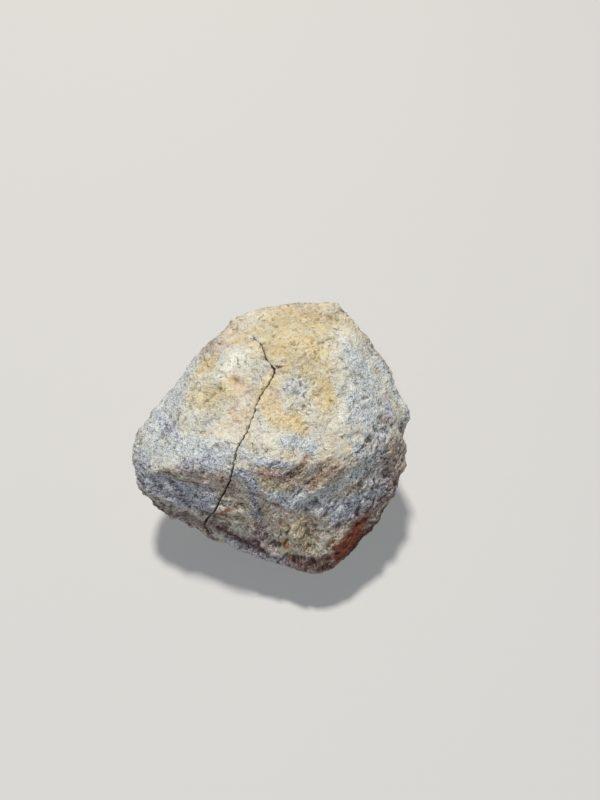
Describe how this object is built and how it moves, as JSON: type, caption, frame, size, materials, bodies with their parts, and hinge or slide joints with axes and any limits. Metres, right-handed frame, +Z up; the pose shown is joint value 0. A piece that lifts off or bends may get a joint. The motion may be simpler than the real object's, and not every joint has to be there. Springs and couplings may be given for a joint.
{
  "type": "unopened geode nodule",
  "caption": "Rough closed stone nodule with a light swelling top, a steep broken front, a fine crack and a small flat spot to rest on.",
  "frame": {"origin": "under the middle of the stone's box, on the surface that it rests on", "axes": "+Z up as it rests, +X along the longest side from the low left point to the right knob, -Y towards the steep cracked front"},
  "size_m": [0.0506, 0.048, 0.0328],
  "materials": {
    "rind": "rough, matt, gritty weathered rind, ochre and cream on top, blue grey with dark specks on the front"
  },
  "bodies": {
    "root": {"geode": "rind"}
  },
  "joints": []
}
